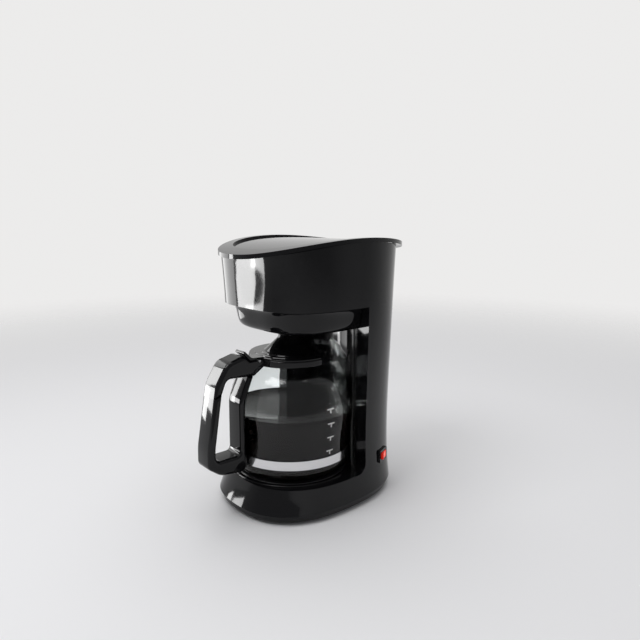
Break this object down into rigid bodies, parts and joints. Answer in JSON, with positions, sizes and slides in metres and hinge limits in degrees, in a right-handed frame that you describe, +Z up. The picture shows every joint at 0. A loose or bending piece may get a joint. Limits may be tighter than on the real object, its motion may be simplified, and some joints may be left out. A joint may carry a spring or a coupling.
{
  "type": "drip coffee maker",
  "caption": "Upright drip coffee maker with an oval hinged lid, a glass carafe on a warming plate, a drip stop under the brew bowl and a lit rocker switch.",
  "frame": {"origin": "on the table, under the middle of the machine's overall box, carafe handle included", "axes": "+Z up, -Y towards the user and the carafe's handle, +X to the right as seen by the user, the switch's side"},
  "size_m": [0.176, 0.264, 0.305],
  "materials": {
    "black_gloss": "high gloss black moulding",
    "black_matte": "plain black moulding",
    "tank_grey": "smoke grey moulding",
    "foot_rubber": "soft black rubber",
    "silicone": "milky silicone",
    "plate_black": "smooth black non-stick coating",
    "heater_aluminium": "as extruded",
    "plain_steel": "zinc plated",
    "bright_steel": "polished strip",
    "clear_glass": "clear heat-resistant glass",
    "ball_white": "smooth ball",
    "lit_red": "clear red, lit from behind"
  },
  "bodies": {
    "body": {"housing": "black_gloss", "base_cover": "black_gloss", "brew_bowl": "black_gloss", "switch_bezel": "black_gloss", "filter_basket": "black_matte", "shower_head": "black_matte", "valve_retainer": "black_matte", "check_valve": "black_matte", "thermostat": "black_matte", "water_tank": "tank_grey", "riser_tube": "tank_grey", "rubber_feet": "foot_rubber", "cord_gland": "foot_rubber", "plate_seal": "silicone", "drip_seal": "silicone", "inlet_hose": "silicone", "riser_hose": "silicone", "warming_plate": "plate_black", "heater_body": "heater_aluminium", "heating_rods": "plain_steel", "heater_strap": "plain_steel", "plate_stud": "plain_steel", "stud_nut": "plain_steel", "thermal_fuse": "plain_steel", "base_screws": "plain_steel", "hose_clips": "plain_steel", "drip_spring": "plain_steel", "lid_hinge_pins": "plain_steel"},
    "lid": {"top_lid": "black_gloss"},
    "carafe": {"carafe_glass": "clear_glass", "carafe_collar": "black_gloss", "carafe_lid": "black_gloss", "carafe_lid_pin": "plain_steel", "steel_band": "bright_steel", "band_screw": "plain_steel", "handle_grip": "black_gloss"},
    "valve": {"drip_valve": "black_matte"},
    "rocker": {"switch_rocker": "lit_red"},
    "ball": {"check_ball": "ball_white"}
  },
  "joints": [
    {"name": "lid_hinge", "type": "hinge", "parent": "body", "child": "lid", "pos_m": [0, 0.125, 0.2839], "axis": [-1, 0, 0], "range_deg": [0, 100]},
    {"name": "carafe_slide", "type": "slide", "parent": "body", "child": "carafe", "axis": [0, -1, 0], "range_m": [0, 0.25]},
    {"name": "drip_valve_lift", "type": "slide", "parent": "body", "child": "valve", "axis": [0, 0, 1], "range_m": [0, 0.004], "stiffness_N_per_m": 200, "springref_m": -0.004, "deforming": ["drip_spring"]},
    {"name": "rocker_tilt", "type": "hinge", "parent": "body", "child": "rocker", "pos_m": [0.07177, 0.06628, 0.047], "axis": [0, 0, 1], "range_deg": [-14, 0]},
    {"name": "check_ball_lift", "type": "slide", "parent": "body", "child": "ball", "axis": [0, 0, 1], "range_m": [0, 0.0025]}
  ]
}
